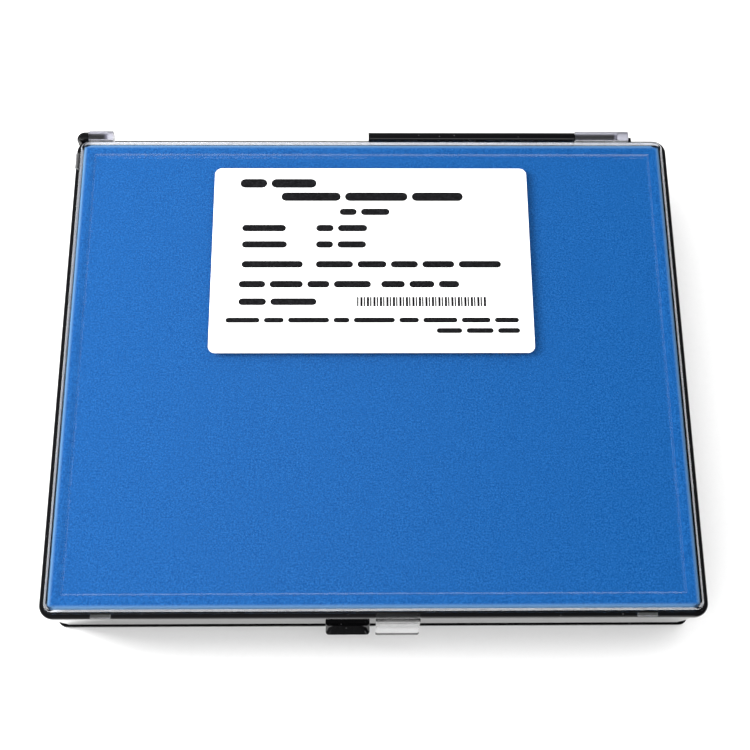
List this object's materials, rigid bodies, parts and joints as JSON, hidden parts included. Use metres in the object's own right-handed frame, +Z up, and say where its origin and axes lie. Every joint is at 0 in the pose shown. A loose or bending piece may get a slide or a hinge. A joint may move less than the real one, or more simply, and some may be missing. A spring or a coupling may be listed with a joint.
{
  "type": "hinged cuvette storage case",
  "caption": "Flat hinged storage case with a black tray, a clear recessed lid, blue foam lining, a paper label and a rectangular quartz cell nested inside.",
  "frame": {"origin": "middle of the underside, below the centre of the tray's rim", "axes": "+X to the right along the latch and hinge edges, +Y from the latch at the front to the hinge at the rear, +Z up"},
  "size_m": [0.192, 0.1607, 0.0284],
  "materials": {
    "black_plastic": "glossy moulded black polystyrene",
    "clear_plastic": "clear moulded polystyrene",
    "blue_foam": "fine open-cell foam, matt",
    "white_paper": "white label paper, satin",
    "quartz": "polished clear quartz"
  },
  "bodies": {
    "tray": {"base": "black_plastic", "base_foam": "blue_foam", "cuvette": "quartz"},
    "cover": {"lid": "clear_plastic", "lid_foam": "blue_foam", "label": "white_paper"}
  },
  "joints": [
    {"name": "lid_hinge", "type": "hinge", "parent": "tray", "child": "cover", "pos_m": [0, 0.0781, 0.0264], "axis": [-1, 0, 0], "range_deg": [0, 180]}
  ]
}
